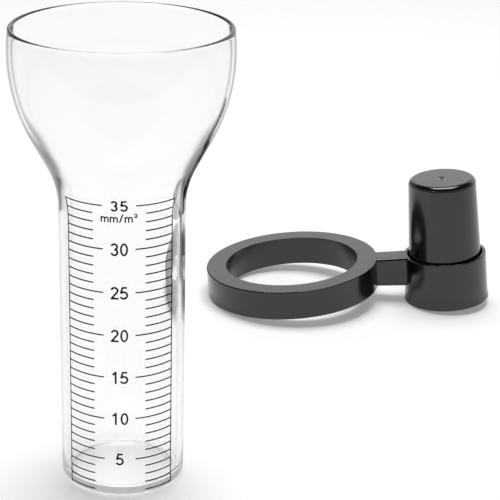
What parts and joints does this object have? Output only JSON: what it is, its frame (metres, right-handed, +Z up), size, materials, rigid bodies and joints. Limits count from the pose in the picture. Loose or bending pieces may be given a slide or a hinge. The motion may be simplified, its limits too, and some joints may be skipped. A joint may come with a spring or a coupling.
{
  "type": "manual rain gauge",
  "caption": "Manual rain gauge: clear glass vessel with a wide bowl on a graduated tube, with a plastic ring holder and its separate pole cap lying beside it.",
  "frame": {"origin": "centre of the glass vessel's flat base, on the surface that everything stands on", "axes": "+Z up along the vessel's axis; -Y out of the middle of the scale; the holder lies towards +X and +Y, its ring nearer the vessel and its collar and cap towards +X"},
  "size_m": [0.2148, 0.2703, 0.1792],
  "materials": {
    "clear_glass": "fire-polished, clear and colourless",
    "scale_ink": "black fired-on enamel",
    "black_plastic": "glossy injection moulding"
  },
  "bodies": {
    "cap": {"pole_cap": "black_plastic"},
    "bracket": {"holder_bracket": "black_plastic"},
    "gauge": {"gauge_glass": "clear_glass", "scale_lines": "scale_ink", "scale_numerals": "scale_ink"}
  },
  "joints": [
    {"name": "bracket_lift", "type": "slide", "parent": "cap", "child": "bracket", "axis": [-0.0973, 0.0051, 0.9952], "range_m": [0, 0.07]},
    {"name": "gauge_lift", "type": "slide", "parent": "cap", "child": "gauge", "axis": [0, 0, 1], "range_m": [0, 0.14]}
  ]
}
